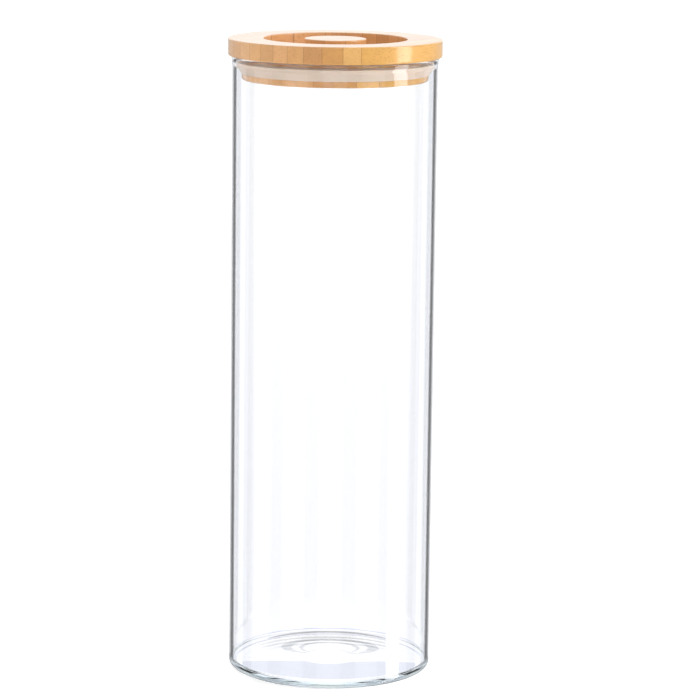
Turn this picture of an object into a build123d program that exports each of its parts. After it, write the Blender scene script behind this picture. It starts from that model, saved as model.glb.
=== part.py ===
"""Tall glass storage canister with a laminated bamboo lid and a silicone lip seal.

The jar stands on the XY plane with its axis on +Z, and its front faces -Y. The lid is one board of
upright bamboo strips glued side by side and turned to shape, so every strip is a piece of its own.
All sizes are in millimetres.
"""

from build123d import *

import os
from math import cos, radians, sin

# Jar
jar_radius = 50.0
jar_height = 304.4
wall = 1.6
bore_radius = jar_radius - wall
heel_radius = 3.0  # outside corner at the foot
inside_corner = 2.2
floor_centre = 3.8  # inside floor height on the axis
floor_edge = 3.0
flat_centre = 12.0  # radius of the level middle of the floor and of the punt
punt_centre = 1.0  # underside height on the axis
foot_inner_radius = 44.0
punt_blend = 40.0
dome_blend = 200.0
bead = 0.4  # how far the fire-polished rim stands proud of the wall
bead_height = 2.8
bead_run = 1.8
bead_blend = 5.0

# Lid
rest_gap = 0.05  # between the jar's rim and the cap that rests on it
cap_radius = 52.1
cap_thickness = 8.5
plug_radius = 45.5
plug_depth = 11.5
plug_round = 1.2
cap_round_top = 0.5
cap_round_bottom = 0.8
grip_outer_radius = 35.0
knob_radius = 15.0
grip_depth = 8.0
grip_floor_round = 1.2
groove_radius = 43.9
groove_low = 3.05  # above the plug's bottom
groove_height = 6.4

# Bamboo strips
strip_width = 7.8
first_seam = -49.6
seam_count = 13
end_strip_neck = 1.9  # wood left behind the seal groove in the last strip
strip_turn = -40.0  # angle of the stacking direction from +X

# Silicone seal
seal_slack = 0.05  # all round in the plug's groove
seal_band = 1.35
lip_gap = 0.15  # between the relaxed lip and the bore
lip_land = 2.1  # height of the lip's upright contact face
lip_tip = 0.75
lip_drop = 0.5  # lip's top below the band's top
lip_start = 1.75
lip_root = 1.7
seal_round = 0.3

cap_bottom = jar_height + rest_gap
lid_top = cap_bottom + cap_thickness
plug_bottom = cap_bottom - plug_depth
groove_bottom = plug_bottom + groove_low
groove_top = groove_bottom + groove_height


def ring_solid(corners, rounds):
    """A solid of revolution about Z, from a closed profile of (radius, height) corners."""
    with BuildPart() as ring:
        with BuildSketch(Plane.XZ):
            with BuildLine():
                FilletPolyline(*corners, radius=rounds, close=True)
            make_face()
        revolve(axis=Axis.Z)
    return ring.part


def jar_outline():
    """Corners and corner radii of the tube's wall, its fire-polished rim and its pushed-up base."""
    rim_radius = jar_radius + bead
    rim_round = (rim_radius - bore_radius) / 2 - 0.01
    return zip(
        ((0, punt_centre), 0),
        ((flat_centre, punt_centre), dome_blend),
        ((foot_inner_radius, 0), punt_blend),
        ((jar_radius, 0), heel_radius),
        ((jar_radius, jar_height - bead_height - bead_run), bead_blend),
        ((rim_radius, jar_height - bead_height), bead_blend),
        ((rim_radius, jar_height), rim_round),
        ((bore_radius, jar_height), rim_round),
        ((bore_radius, floor_edge), inside_corner),
        ((flat_centre, floor_centre), dome_blend),
        ((0, floor_centre), 0),
    )


def lid_outline():
    """Corners and corner radii of the turned board: plug, seal groove, cap, finger groove and knob."""
    return zip(
        ((0, plug_bottom), 0),
        ((plug_radius, plug_bottom), plug_round),
        ((plug_radius, groove_bottom), 0),
        ((groove_radius, groove_bottom), 0),
        ((groove_radius, groove_top), 0),
        ((plug_radius, groove_top), 0),
        ((plug_radius, cap_bottom), 0),
        ((cap_radius, cap_bottom), cap_round_bottom),
        ((cap_radius, lid_top), cap_round_top),
        ((grip_outer_radius, lid_top), cap_round_top),
        ((grip_outer_radius, lid_top - grip_depth), grip_floor_round),
        ((knob_radius, lid_top - grip_depth), grip_floor_round),
        ((knob_radius, lid_top), cap_round_top),
        ((0, lid_top), 0),
    )


def seal_outline():
    """Corners and corner radii of the seal: a band in the groove with one lip that flares upwards."""
    inner = groove_radius + seal_slack
    outer = inner + seal_band
    low = groove_bottom + seal_slack
    high = groove_top - seal_slack
    lip_radius = bore_radius - lip_gap
    lip_top = high - lip_drop
    return zip(
        ((inner, low), seal_round),
        ((inner + lip_start, low), seal_round),
        ((lip_radius, lip_top - lip_land), seal_round),
        ((lip_radius, lip_top), seal_round),
        ((lip_radius - lip_tip, lip_top), seal_round),
        ((outer, low + lip_root), seal_round),
        ((outer, high), seal_round),
        ((inner, high), seal_round),
    )


def write_piece(name, piece):
    """Writes one piece to its own STEP file."""
    piece.label = name
    export_step(piece, f"parts/{name}.step")


os.makedirs("parts", exist_ok=True)

jar_corners, jar_rounds = jar_outline()
write_piece("glass_jar", ring_solid(jar_corners, jar_rounds))

seal_corners, seal_rounds = seal_outline()
write_piece("silicone_seal", ring_solid(seal_corners, seal_rounds))

# The lid's board is turned whole, then parted along its glue lines.
lid_corners, lid_rounds = lid_outline()
lid_blank = ring_solid(lid_corners, lid_rounds)
stacking = Vector(cos(radians(strip_turn)), sin(radians(strip_turn)), 0)
board_plane = Plane(origin=(0, 0, plug_bottom), x_dir=stacking, z_dir=(0, 0, 1))
last_seam = groove_radius - end_strip_neck
seams = [min(first_seam + strip_width * step, last_seam) for step in range(seam_count)]
edges = [-cap_radius - 1, *seams, cap_radius + 1]

for number, (low, high) in enumerate(zip(edges[:-1], edges[1:]), start=1):
    with BuildPart() as strip:
        add(lid_blank)
        with BuildSketch(board_plane):
            with Locations(((low + high) / 2, 0)):
                Rectangle(high - low, 2 * cap_radius + 2)
        extrude(amount=lid_top - plug_bottom, mode=Mode.INTERSECT)
    write_piece(f"bamboo_strip_{number:02d}", strip.part)
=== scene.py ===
"""Looks for the lidded glass canister: clear glass, a bamboo lid of glued strips and a milky silicone seal.

Everything is in metres in the CAD frame. The canister's axis is +Z, it stands on z = 0, and its front
faces -Y.
"""

from math import cos, pi, radians, sin, tan

import bpy
import bmesh
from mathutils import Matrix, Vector


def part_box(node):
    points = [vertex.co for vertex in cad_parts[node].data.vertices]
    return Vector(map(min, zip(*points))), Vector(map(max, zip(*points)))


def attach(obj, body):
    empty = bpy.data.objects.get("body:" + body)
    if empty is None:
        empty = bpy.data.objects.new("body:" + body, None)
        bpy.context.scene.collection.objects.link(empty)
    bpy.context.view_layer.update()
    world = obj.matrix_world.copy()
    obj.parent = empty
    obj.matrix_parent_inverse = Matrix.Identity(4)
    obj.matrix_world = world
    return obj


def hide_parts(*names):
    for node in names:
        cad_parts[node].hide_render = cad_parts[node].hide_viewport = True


MM = 0.001
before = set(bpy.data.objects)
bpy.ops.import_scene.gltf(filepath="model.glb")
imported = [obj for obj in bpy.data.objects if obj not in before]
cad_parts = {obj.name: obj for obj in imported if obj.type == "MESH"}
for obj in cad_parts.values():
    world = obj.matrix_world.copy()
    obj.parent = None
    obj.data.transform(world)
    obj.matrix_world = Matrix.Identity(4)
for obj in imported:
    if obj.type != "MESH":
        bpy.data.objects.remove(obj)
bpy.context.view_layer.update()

SEGMENTS = 384  # round the axis, on glass and seal
ARC_STEP = radians(7)

# Glass
BORE_RADIUS = 48.4 * MM
TUBE_RADIUS = 50 * MM
HEEL_RADIUS = 3 * MM
INSIDE_CORNER = 2.2 * MM
FLOOR_CENTRE = 3.8 * MM
FLOOR_EDGE = 3.0 * MM
FLAT_CENTRE = 12 * MM
PUNT_CENTRE = 1.0 * MM
FOOT_INNER_RADIUS = 44 * MM
BEAD_HEIGHT, BEAD_RUN = 2.8 * MM, 1.8 * MM
FLOOR_ROUND, FOOT_ROUND, BEAD_ROUND = 150 * MM, 40 * MM, 5 * MM
ROUND_CLEARANCE = 0.01 * MM  # keeps the rim's two rounds from meeting in one point
GLASS_IOR = 1.473
GLASS_TINT, GLASS_DENSITY = (0.78, 0.93, 0.97, 1), 8.0

# Unevenness of the blown inside floor
WAVES_RADIUS, WAVES_LOW, WAVES_HIGH = 45 * MM, 2.5 * MM, 4.5 * MM
WAVE_SIZE = 0.012 * MM
WAVE_X, WAVE_Y, WAVE_XY = 2 * pi / (46 * MM), 2 * pi / (38 * MM), 2 * pi / (60 * MM)
PHASE_X, PHASE_Y, PHASE_XY = 1.2, 0.5, 2.0
SLANTED_WAVE = 0.6  # size of the wave across x + y, against the other

# Seal
SEAL_INNER = 43.95 * MM
BAND_WIDTH = 1.35 * MM
LIP_ROOT_WIDTH, LIP_ROOT_HEIGHT = 1.75 * MM, 1.7 * MM
LIP_DROP, LIP_FACE, LIP_THICKNESS = 0.5 * MM, 2.1 * MM, 0.75 * MM
SEAL_EDGE = 0.3 * MM
SILICONE_IOR = 1.41

# Bamboo
STRIP_COUNT = 14
STRIP_WIDTH = 7.8 * MM
FIRST_SEAM = -49.6 * MM
LAST_SEAM = 42 * MM
GLUE_LINE = 0.18 * MM  # its darkened half width
STRIP_TURN = radians(-40)
SEED_STEP = 7.3  # moves the pattern from strip to strip
FIBRE_STRETCH = 0.035  # the pattern's frequency along the fibres, against across them
DARK_FIBRE, GLUE_TONE = (0.70, 0.58, 0.46), (0.48, 0.36, 0.26)  # shares of a strip's own tone
STACKING = Vector((cos(STRIP_TURN), sin(STRIP_TURN), 0))
FIBRE = Vector((-sin(STRIP_TURN), cos(STRIP_TURN), 0))

# Base colour of each strip, the first strip first
STRIP_TONES = (
    (0.71, 0.38, 0.16), (0.76, 0.43, 0.20), (0.71, 0.38, 0.16), (0.76, 0.43, 0.20), (0.74, 0.42, 0.20),
    (0.80, 0.46, 0.22), (0.78, 0.43, 0.18), (0.70, 0.375, 0.15), (0.78, 0.42, 0.175), (0.74, 0.39, 0.145),
    (0.65, 0.32, 0.11), (0.66, 0.325, 0.09), (0.77, 0.43, 0.13), (0.72, 0.385, 0.09),
)

# Studio: light levels and colours, and where they are
ROOM_SLOPE, ROOM_LEVEL = (0.05, 0.16, 0.06), 0.84
BACKDROP_LIGHT = 0.26
MIRROR_DIMMING = 0.5  # of what mirrors see below the horizon
INSIDE_LIGHT = 1.6  # added share of light that reaches the plug and the seal through the glass
STRIP_LIGHT_AZIMUTH, STRIP_LIGHT_LEVEL = radians(79), 6.0
WALLS = 8  # round the horizon
CAMERA_WHITE = (1.02, 1.02, 1.02)
WALL_WHITE, WALL_LOW, WALL_SIDE = (1.2, 1.2, 1.2), (1.11, 1.12, 1.18), (1.04, 1.06, 1.13)
WALL_FOOT, WALL_STEEP = (0.71, 0.75, 0.90), (0.45, 0.45, 0.47)
UPPER_LINE, LOWER_LINE = (0.10, 0.12, 0.14), (0.15, 0.15, 0.18)
GAP_DARK = (0.03, 0.032, 0.035)
FLOOR_HALF = 14
FLOOR_GLOW = 0.3

# Camera
CAMERA_DISTANCE, CAMERA_HEIGHT = 1.600, 0.4457
CAMERA_LENS, SENSOR = 169.4, 36
CAMERA_PITCH, CAMERA_YAW, CAMERA_ROLL = radians(10.147), radians(0.316), radians(0.679)


# Meshes

def rounded_outline(corners):
    """Points of a closed outline of (radius, height, round) corners, with each round as an arc."""
    points = []
    for number, (x, z, size) in enumerate(corners):
        corner = Vector((x, z))
        before = Vector(corners[number - 1][:2]) - corner
        after = Vector(corners[(number + 1) % len(corners)][:2]) - corner
        if size == 0:
            points.append(corner)
            continue
        before.normalize()
        after.normalize()
        half = before.angle(after) / 2
        centre = corner + (before + after).normalized() * (size / sin(half))
        start = corner + before * (size / tan(half)) - centre
        end = corner + after * (size / tan(half)) - centre
        sweep = start.angle_signed(end)
        steps = max(2, int(abs(sweep) / ARC_STEP + 1))
        for step in range(steps + 1):
            turn = -sweep * step / steps
            x = start.x * cos(turn) - start.y * sin(turn)
            z = start.x * sin(turn) + start.y * cos(turn)
            points.append(centre + Vector((x, z)))
    return points


def lathe(name, outline, segments=SEGMENTS, height_change=None):
    """A closed mesh of revolution about Z. height_change(radius, height, angle) may raise a point."""
    mesh = bmesh.new()
    rings = []
    for radius, height in outline:
        if radius < 1e-7:
            rings.append([mesh.verts.new((0, 0, height))] * segments)
            continue
        ring = []
        for step in range(segments):
            angle = 2 * pi * step / segments
            raised = height_change(radius, height, angle) if height_change else 0
            ring.append(mesh.verts.new((radius * cos(angle), radius * sin(angle), height + raised)))
        rings.append(ring)
    for number, ring in enumerate(rings):
        following = rings[(number + 1) % len(rings)]
        for step in range(segments):
            across = (step + 1) % segments
            corners = (ring[step], ring[across], following[across], following[step])
            face = list(dict.fromkeys(corners))
            if len(face) > 2:
                mesh.faces.new(face)
    bmesh.ops.recalc_face_normals(mesh, faces=mesh.faces)
    data = bpy.data.meshes.new(name)
    mesh.to_mesh(data)
    mesh.free()
    data.polygons.foreach_set("use_smooth", [True] * len(data.polygons))
    made = bpy.data.objects.new(name, data)
    bpy.context.scene.collection.objects.link(made)
    return made


# Node helpers

def add(tree, kind, inputs=(), out=0, **settings):
    """Adds one node and returns its output. inputs maps sockets to values or to other nodes' outputs."""
    made = tree.nodes.new("ShaderNode" + kind)
    for key, value in settings.items():
        setattr(made, key, value)
    for socket, value in dict(inputs).items():
        if isinstance(value, bpy.types.NodeSocket):
            tree.links.new(value, made.inputs[socket])
        else:
            made.inputs[socket].default_value = value
    return made.outputs[out]


def calc(tree, operation, first, second=0.0, third=0.0):
    return add(tree, "Math", {0: first, 1: second, 2: third}, operation=operation)


def ramp(tree, value, low, high, to_low=0.0, to_high=1.0):
    """Smooth step of value from low to high."""
    inputs = {"Value": value, "From Min": low, "From Max": high, "To Min": to_low, "To Max": to_high}
    return add(tree, "MapRange", inputs, interpolation_type="SMOOTHSTEP")


def blend(tree, share, first, second, mode="MIX"):
    """Mix of two colours."""
    made = tree.nodes.new("ShaderNodeMix")
    made.data_type = "RGBA"
    made.blend_type = mode
    for socket, value in ((made.inputs[0], share), (made.inputs[6], first), (made.inputs[7], second)):
        if isinstance(value, bpy.types.NodeSocket):
            tree.links.new(value, socket)
        elif socket == made.inputs[0]:
            socket.default_value = value
        else:
            socket.default_value = (*value, 1)
    return made.outputs[2]


def new_material(name):
    material = bpy.data.materials.new(name)
    material.use_nodes = True
    tree = material.node_tree
    return material, tree, tree.nodes["Principled BSDF"]


# Pieces

def glass_outline():
    low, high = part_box("glass_jar")
    rim_radius = (high.x - low.x) / 2
    rim_round = (rim_radius - BORE_RADIUS) / 2 - ROUND_CLEARANCE
    return rounded_outline([
        (0, PUNT_CENTRE, 0),
        (FLAT_CENTRE, PUNT_CENTRE, FLOOR_ROUND),
        (FOOT_INNER_RADIUS, 0, FOOT_ROUND),
        (TUBE_RADIUS, 0, HEEL_RADIUS),
        (TUBE_RADIUS, high.z - BEAD_HEIGHT - BEAD_RUN, BEAD_ROUND),
        (rim_radius, high.z - BEAD_HEIGHT, BEAD_ROUND),
        (rim_radius, high.z, rim_round),
        (BORE_RADIUS, high.z, rim_round),
        (BORE_RADIUS, FLOOR_EDGE, INSIDE_CORNER),
        (FLAT_CENTRE, FLOOR_CENTRE, FLOOR_ROUND),
        (0, FLOOR_CENTRE, 0),
    ])


def floor_waves(radius, height, angle):
    """The slight unevenness of a blown floor: about a hundredth of a millimetre over the inside floor."""
    if radius > WAVES_RADIUS or not WAVES_LOW < height < WAVES_HIGH:
        return 0
    x, y = radius * cos(angle), radius * sin(angle)
    wave = sin(x * WAVE_X + PHASE_X) * cos(y * WAVE_Y + PHASE_Y)
    wave = wave + SLANTED_WAVE * sin((x + y) * WAVE_XY + PHASE_XY)
    return WAVE_SIZE * wave * (1 - (radius / WAVES_RADIUS) ** 2) ** 2


def make_glass():
    glass = lathe("glass_body", glass_outline(), height_change=floor_waves)
    glass.data.materials.append(glass_material())
    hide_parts("glass_jar")
    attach(glass, "jar")


def glass_material():
    material, tree, shader = new_material("clear_glass")
    shader.inputs["Base Color"].default_value = (1, 1, 1, 1)
    shader.inputs["Roughness"].default_value = 0.0
    shader.inputs["IOR"].default_value = GLASS_IOR
    shader.inputs["Transmission Weight"].default_value = 1.0
    volume = add(tree, "VolumeAbsorption", {"Color": GLASS_TINT, "Density": GLASS_DENSITY})
    tree.links.new(volume, tree.nodes["Material Output"].inputs["Volume"])
    return material


def seal_outline():
    low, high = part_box("silicone_seal")
    lip_radius = (high.x - low.x) / 2
    outer = SEAL_INNER + BAND_WIDTH
    lip_top = high.z - LIP_DROP
    return rounded_outline([
        (SEAL_INNER, low.z, SEAL_EDGE),
        (SEAL_INNER + LIP_ROOT_WIDTH, low.z, SEAL_EDGE),
        (lip_radius, lip_top - LIP_FACE, SEAL_EDGE),
        (lip_radius, lip_top, SEAL_EDGE),
        (lip_radius - LIP_THICKNESS, lip_top, SEAL_EDGE),
        (outer, low.z + LIP_ROOT_HEIGHT, SEAL_EDGE),
        (outer, high.z, SEAL_EDGE),
        (SEAL_INNER, high.z, SEAL_EDGE),
    ])


def make_seal():
    seal = lathe("seal_ring", seal_outline())
    seal.data.materials.append(silicone_material())
    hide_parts("silicone_seal")
    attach(seal, "seal")


def silicone_material():
    material, tree, shader = new_material("milky_silicone")
    # The base colour is the silicone's own milky tone plus painted light: the warm hue of the wood plug
    # that shines through the seal is painted into it.
    shader.inputs["Base Color"].default_value = (0.94, 0.77, 0.64, 1)
    shader.inputs["Roughness"].default_value = 0.42
    shader.inputs["IOR"].default_value = SILICONE_IOR
    shader.inputs["Subsurface Weight"].default_value = 0.5
    shader.inputs["Subsurface Radius"].default_value = (0.002, 0.0016, 0.0014)
    shader.inputs["Transmission Weight"].default_value = 0.2
    return material


def bamboo_material(name, tone, low_seam, high_seam, seed):
    """Bamboo in one strip. Bundles of fibres run along FIBRE: dots in end grain, streaks in side grain."""
    material, tree, shader = new_material(name)
    place = add(tree, "TexCoord", out="Object")
    along = add(tree, "VectorMath", {0: place, 1: FIBRE / MM}, out="Value", operation="DOT_PRODUCT")
    across = add(tree, "VectorMath", {0: place, 1: STACKING / MM}, out="Value", operation="DOT_PRODUCT")
    upright = {0: place, 1: Vector((0, 0, 1)) / MM}
    height = add(tree, "VectorMath", upright, out="Value", operation="DOT_PRODUCT")
    stretched = calc(tree, "MULTIPLY", along, FIBRE_STRETCH)
    fibre_place = add(tree, "CombineXYZ", {0: stretched, 1: across, 2: height})
    shifted = add(tree, "VectorMath", {0: fibre_place, 1: (seed, seed * 1.7, seed * 2.3)})
    bundles = add(tree, "TexVoronoi", {"Vector": shifted, "Scale": 0.95, "Randomness": 0.8}, out="Distance")
    fibres = add(tree, "TexNoise", {"Vector": shifted, "Scale": 3.5, "Detail": 4.0, "Roughness": 0.6})
    drift = add(tree, "TexNoise", {"Vector": shifted, "Scale": 0.22, "Detail": 2.0})
    dots = ramp(tree, bundles, 0.34, 0.16)
    pale = tuple(c * 1.08 for c in tone)
    dark = tuple(c * f for c, f in zip(tone, DARK_FIBRE))
    glue = tuple(c * f for c, f in zip(tone, GLUE_TONE))
    wood = blend(tree, ramp(tree, drift, 0.3, 0.7), tone, pale)
    wood = blend(tree, ramp(tree, fibres, 0.35, 0.75, 0.0, 0.4), wood, dark)
    wood = blend(tree, calc(tree, "MULTIPLY", dots, 0.5), wood, dark)
    nearest = calc(tree, "MINIMUM", calc(tree, "SUBTRACT", across, low_seam / MM),
                   calc(tree, "SUBTRACT", high_seam / MM, across))
    seam = ramp(tree, nearest, GLUE_LINE / MM, 0.2 * GLUE_LINE / MM)
    wood = blend(tree, calc(tree, "MULTIPLY", seam, 0.65), wood, glue)
    tree.links.new(wood, shader.inputs["Base Color"])
    rough = ramp(tree, fibres, 0.3, 0.7, 0.34, 0.50)
    tree.links.new(rough, shader.inputs["Roughness"])
    shader.inputs["Coat Weight"].default_value = 0.8
    shader.inputs["Coat Roughness"].default_value = 0.14
    relief = calc(tree, "SUBTRACT", calc(tree, "MULTIPLY", fibres, 0.5), calc(tree, "ADD", dots, seam))
    bump = add(tree, "Bump", {"Height": relief, "Strength": 0.15, "Distance": 0.0001}, out="Normal")
    tree.links.new(bump, shader.inputs["Normal"])
    return material


def finish_strips():
    seams = [min(FIRST_SEAM + STRIP_WIDTH * step, LAST_SEAM) for step in range(STRIP_COUNT - 1)]
    edges = [-1, *seams, 1]
    for number, tone in enumerate(STRIP_TONES, start=1):
        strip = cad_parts[f"bamboo_strip_{number:02d}"]
        low_seam, high_seam = edges[number - 1], edges[number]
        wood = bamboo_material(f"bamboo_{number:02d}", tone, low_seam, high_seam, seed=number * SEED_STEP)
        strip.data.materials.clear()
        strip.data.materials.append(wood)


# Studio

def studio_world():
    """Soft light from behind and the right. Through the glass, white walls with dark gaps are seen."""
    world = bpy.data.worlds.new("studio")
    bpy.context.scene.world = world
    world.use_nodes = True
    tree = world.node_tree
    tree.nodes.clear()
    direction = add(tree, "TexCoord", out="Generated")
    way = tree.nodes.new("ShaderNodeSeparateXYZ")
    tree.links.new(direction, way.inputs[0])
    azimuth = calc(tree, "ARCTAN2", way.outputs["X"], calc(tree, "MULTIPLY", way.outputs["Y"], -1.0))
    elevation = calc(tree, "ARCSINE", way.outputs["Z"])
    path = tree.nodes.new("ShaderNodeLightPath")
    refracted = path.outputs["Is Transmission Ray"]
    undiffused = calc(tree, "LESS_THAN", path.outputs["Diffuse Depth"], 0.5)
    through_glass = calc(tree, "MULTIPLY", refracted, undiffused)
    mirrored = calc(tree, "MULTIPLY", path.outputs["Is Reflection Ray"], path.outputs["Is Glossy Ray"])
    room = room_light(tree, direction, azimuth, elevation, refracted, mirrored)
    seen = blend(tree, through_glass, room, glass_surroundings(tree, azimuth, elevation))
    seen = blend(tree, path.outputs["Is Camera Ray"], seen, CAMERA_WHITE)
    background = add(tree, "Background", {"Color": seen, "Strength": 1.0})
    output = tree.nodes.new("ShaderNodeOutputWorld")
    tree.links.new(background, output.inputs["Surface"])


def room_light(tree, direction, azimuth, elevation, refracted, mirrored):
    """What lights the lid and is mirrored in the glass: a soft room, a bright backdrop and a strip light.

    Light that reaches the plug and the seal through the glass is stronger, and what is mirrored from below
    the horizon is half as bright.
    """
    height = calc(tree, "ABSOLUTE", elevation)
    slope = {0: direction, 1: ROOM_SLOPE}
    level = add(tree, "VectorMath", slope, out="Value", operation="DOT_PRODUCT")
    behind = ramp(tree, calc(tree, "COSINE", azimuth), cos(radians(140)), cos(radians(165)))
    backdrop = ramp(tree, height, radians(22), radians(8), 0.0, BACKDROP_LIGHT)
    backdrop = calc(tree, "MULTIPLY", behind, backdrop)
    level = calc(tree, "ADD", calc(tree, "ADD", level, ROOM_LEVEL), backdrop)
    below = ramp(tree, elevation, radians(-1), radians(-3), 0.0, MIRROR_DIMMING)
    below = calc(tree, "MULTIPLY", mirrored, below)
    level = calc(tree, "MULTIPLY", level, calc(tree, "SUBTRACT", 1.0, below))
    inside = calc(tree, "MULTIPLY", refracted, INSIDE_LIGHT)
    level = calc(tree, "MULTIPLY", level, calc(tree, "ADD", inside, 1.0))
    facing = calc(tree, "COSINE", calc(tree, "SUBTRACT", azimuth, STRIP_LIGHT_AZIMUTH))
    strip = ramp(tree, facing, cos(radians(10)), cos(radians(9)))
    brightness = ramp(tree, height, radians(50), radians(45), 0.0, STRIP_LIGHT_LEVEL)
    strip = calc(tree, "MULTIPLY", strip, brightness)
    share = calc(tree, "SUBTRACT", 1.0, calc(tree, "MULTIPLY", refracted, 0.5))
    strip = calc(tree, "MULTIPLY", strip, share)
    level = calc(tree, "ADD", level, strip)
    return add(tree, "CombineColor", {0: level, 1: level, 2: level})


def glass_surroundings(tree, azimuth, elevation):
    """White walls every 45 degrees, with dark gaps between them that draw the glass's outline.

    The wall behind the canister turns cooler towards its foot. Two thin dark lines above the horizon are
    mirrored in the floor of the glass.

    The glass looks clear only from azimuths within about 8 degrees of a multiple of 45. Between them the
    camera looks through it at a gap, and it looks dark. The bands of elevation suit one camera height.
    """
    turned = calc(tree, "ARCCOSINE", calc(tree, "COSINE", calc(tree, "MULTIPLY", azimuth, WALLS)))
    off = calc(tree, "DIVIDE", turned, WALLS)
    behind = ramp(tree, calc(tree, "COSINE", azimuth), cos(radians(160)), cos(radians(168)))
    low = calc(tree, "MULTIPLY", behind, ramp(tree, elevation, radians(-6), radians(-14)))
    foot = calc(tree, "MULTIPLY", behind, level_band(tree, elevation, -23, -20, -16.25, -16.05))
    wall = blend(tree, low, WALL_WHITE, WALL_LOW)
    wall = blend(tree, ramp(tree, off, radians(2), radians(9)), wall, WALL_SIDE)
    wall = blend(tree, foot, wall, WALL_FOOT)
    steep = calc(tree, "MULTIPLY", behind, level_band(tree, elevation, -42, -39, -35, -34))
    wall = blend(tree, steep, wall, WALL_STEEP)
    wall = blend(tree, level_band(tree, elevation, 14.50, 14.55, 14.85, 14.90), wall, UPPER_LINE)
    wall = blend(tree, level_band(tree, elevation, 14.02, 14.07, 14.20, 14.25), wall, LOWER_LINE)
    side = ramp(tree, off, radians(12.5), radians(15))
    gap = calc(tree, "MULTIPLY", side, level_band(tree, elevation, -65, -45, 0, 3))
    return blend(tree, gap, wall, GAP_DARK)


def level_band(tree, elevation, low_start, low, high, high_end):
    """1 between two elevations in degrees, with soft edges outside them."""
    return calc(tree, "MULTIPLY", ramp(tree, elevation, radians(low_start), radians(low)),
                ramp(tree, elevation, radians(high_end), radians(high)))


def make_floor():
    mesh = bpy.data.meshes.new("floor")
    half = FLOOR_HALF
    corners = [(-half, -half, 0), (half, -half, 0), (half, half, 0), (-half, half, 0)]
    mesh.from_pydata(corners, [], [(0, 1, 2, 3)])
    floor = bpy.data.objects.new("floor", mesh)
    bpy.context.scene.collection.objects.link(floor)
    material, tree, shader = new_material("floor_white")
    shader.inputs["Base Color"].default_value = (0.9, 0.9, 0.9, 1)
    shader.inputs["Roughness"].default_value = 0.9
    shader.inputs["Emission Color"].default_value = (1, 1, 1, 1)
    shader.inputs["Emission Strength"].default_value = FLOOR_GLOW
    mesh.materials.append(material)
    floor.visible_transmission = False
    floor.visible_glossy = False


def make_camera():
    data = bpy.data.cameras.new("camera")
    data.lens, data.sensor_width = CAMERA_LENS, SENSOR
    data.clip_start, data.clip_end = 0.05, 60
    camera = bpy.data.objects.new("camera", data)
    bpy.context.scene.collection.objects.link(camera)
    bpy.context.scene.camera = camera
    camera.location = (0, -CAMERA_DISTANCE, CAMERA_HEIGHT)
    camera.rotation_euler = (pi / 2 - CAMERA_PITCH, 0, -CAMERA_YAW)
    camera.rotation_euler.rotate_axis("Z", CAMERA_ROLL)


make_glass()
make_seal()
finish_strips()
studio_world()
make_floor()
make_camera()
scene = bpy.context.scene
scene.view_settings.view_transform = "Standard"
scene.cycles.max_bounces = 32
scene.cycles.transmission_bounces = 32
scene.cycles.glossy_bounces = 32
